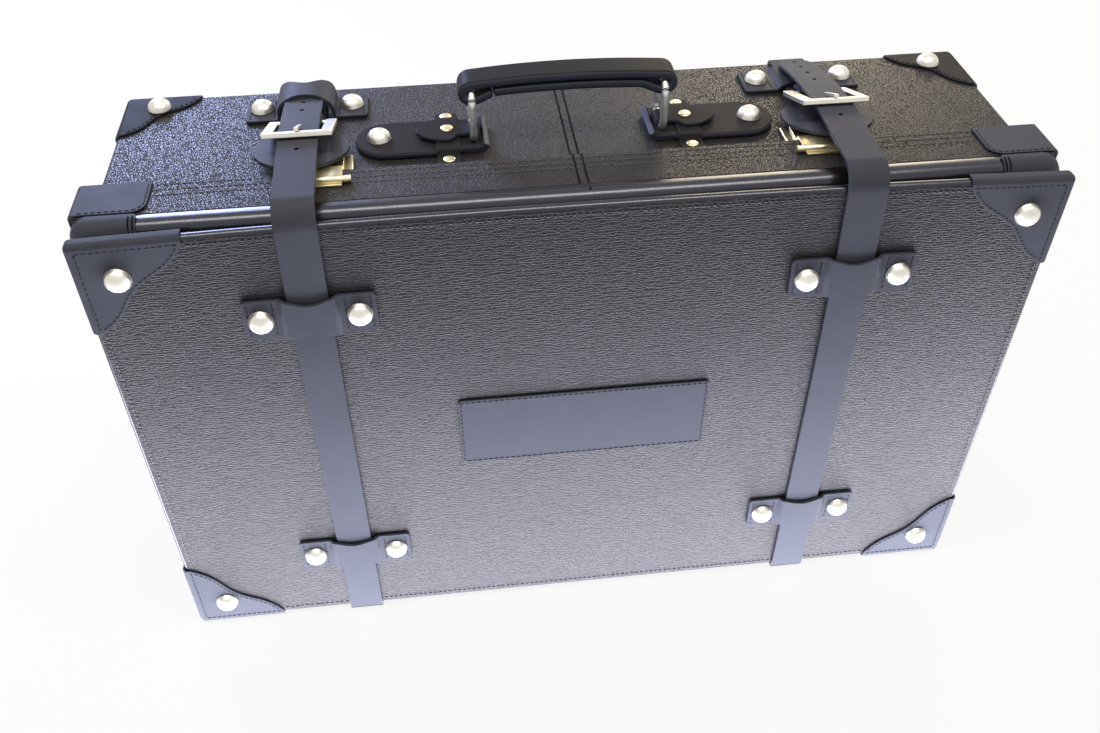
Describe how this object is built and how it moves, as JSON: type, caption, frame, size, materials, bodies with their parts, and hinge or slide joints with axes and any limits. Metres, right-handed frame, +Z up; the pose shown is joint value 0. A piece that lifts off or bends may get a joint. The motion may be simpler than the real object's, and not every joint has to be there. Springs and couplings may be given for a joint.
{
  "type": "suitcase",
  "caption": "Upright leather suitcase with a hinged telescoping lid, riveted corner patches, buckled straps in leather loops, slide-knob locks and a ring-mounted carrying handle.",
  "frame": {"origin": "middle of the footprint, on the surface that the case stands on", "axes": "+X along the case's width, +Y from the lid's front panel towards the back, +Z up towards the handle"},
  "size_m": [0.6294, 0.2074, 0.4177],
  "materials": {
    "grained_leather": "black, embossed cross grain, satin",
    "smooth_leather": "black, smooth, satin",
    "nickel": "polished nickel plate",
    "chrome": "bright chromed wire",
    "brass": "polished",
    "lining_cloth": "plain dark cloth over board"
  },
  "bodies": {
    "base": {"base_case": "grained_leather", "base_lining": "lining_cloth", "base_patch_bottom_left": "smooth_leather", "base_patch_bottom_right": "smooth_leather", "base_patch_top_left": "smooth_leather", "base_patch_top_right": "smooth_leather", "buckle_guard_left": "smooth_leather", "buckle_guard_right": "smooth_leather", "handle_anchor_left": "smooth_leather", "handle_anchor_right": "smooth_leather", "handle_cross_strap_left": "smooth_leather", "handle_cross_strap_right": "smooth_leather", "handle_tab_left": "smooth_leather", "handle_tab_right": "smooth_leather", "hinge_leaf_base_left": "brass", "hinge_leaf_base_right": "brass", "hinge_pin_left": "brass", "hinge_pin_right": "brass", "lock_body_left": "brass", "lock_body_right": "brass", "rear_loop_lower_left": "smooth_leather", "rear_loop_lower_right": "smooth_leather", "rear_loop_upper_left": "smooth_leather", "rear_loop_upper_right": "smooth_leather", "rear_strap_left": "smooth_leather", "rear_strap_right": "smooth_leather", "top_loop_left": "smooth_leather", "top_loop_right": "smooth_leather"},
    "lid": {"front_panel": "grained_leather", "lid_wall": "grained_leather", "lid_gusset": "grained_leather", "lid_lining": "lining_cloth", "plaque": "smooth_leather", "panel_patch_bottom_left": "smooth_leather", "panel_patch_bottom_right": "smooth_leather", "panel_patch_top_left": "smooth_leather", "panel_patch_top_right": "smooth_leather", "lid_cap_bottom_left": "smooth_leather", "lid_cap_bottom_right": "smooth_leather", "lid_cap_top_left": "smooth_leather", "lid_cap_top_right": "smooth_leather", "front_loop_lower_left": "smooth_leather", "front_loop_lower_right": "smooth_leather", "front_loop_upper_left": "smooth_leather", "front_loop_upper_right": "smooth_leather", "front_strap_left": "smooth_leather", "front_strap_right": "smooth_leather", "lock_hasp_left": "brass", "lock_hasp_right": "brass", "hinge_leaf_lid_left": "brass", "hinge_leaf_lid_right": "brass"},
    "handle_ring_left": {"handle_ring_left": "chrome"},
    "handle_ring_right": {"handle_ring_right": "chrome"},
    "handle_grip": {"handle_grip": "smooth_leather"},
    "buckle_left": {"buckle_frame_left": "nickel"},
    "buckle_right": {"buckle_frame_right": "nickel"},
    "prong_left": {"buckle_prong_left": "nickel"},
    "prong_right": {"buckle_prong_right": "nickel"},
    "knob_left": {"lock_knob_left": "brass"},
    "knob_right": {"lock_knob_right": "brass"}
  },
  "joints": [
    {"name": "lid_hinge", "type": "hinge", "parent": "base", "child": "lid", "pos_m": [0, -0.028, 0.0029], "axis": [1, 0, 0], "range_deg": [0, 100]},
    {"name": "handle_swing_left", "type": "hinge", "parent": "base", "child": "handle_ring_left", "pos_m": [-0.064, 0.012, 0.37365], "axis": [0, 1, 0], "range_deg": [-45, 45]},
    {"name": "handle_swing_right", "type": "hinge", "parent": "base", "child": "handle_ring_right", "pos_m": [0.064, 0.012, 0.37365], "axis": [0, 1, 0], "range_deg": [-45, 45]},
    {"name": "grip_pivot", "type": "hinge", "parent": "handle_ring_left", "child": "handle_grip", "pos_m": [-0.064, 0.012, 0.40665], "axis": [0, 1, 0], "range_deg": [-45, 45]},
    {"name": "buckle_lift_left", "type": "hinge", "parent": "base", "child": "buckle_left", "pos_m": [-0.177, 0.02417, 0.38097], "axis": [-1, 0, 0], "range_deg": [0, 75]},
    {"name": "buckle_lift_right", "type": "hinge", "parent": "base", "child": "buckle_right", "pos_m": [0.177, 0.02417, 0.38097], "axis": [-1, 0, 0], "range_deg": [0, 75]},
    {"name": "prong_lift_left", "type": "hinge", "parent": "buckle_left", "child": "prong_left", "pos_m": [-0.177, 0.02417, 0.38097], "axis": [-1, 0, 0], "range_deg": [0, 50]},
    {"name": "prong_lift_right", "type": "hinge", "parent": "buckle_right", "child": "prong_right", "pos_m": [0.177, 0.02417, 0.38097], "axis": [-1, 0, 0], "range_deg": [0, 50]},
    {"name": "lock_slide_left", "type": "slide", "parent": "base", "child": "knob_left", "axis": [-1, 0, 0], "range_m": [0, 0.005], "stiffness_N_per_m": 100},
    {"name": "lock_slide_right", "type": "slide", "parent": "base", "child": "knob_right", "axis": [1, 0, 0], "range_m": [0, 0.005], "stiffness_N_per_m": 100}
  ],
  "couplings": [
    {"joint": "handle_swing_right", "follows": "handle_swing_left", "ratio": 1},
    {"joint": "grip_pivot", "follows": "handle_swing_left", "ratio": -1}
  ]
}
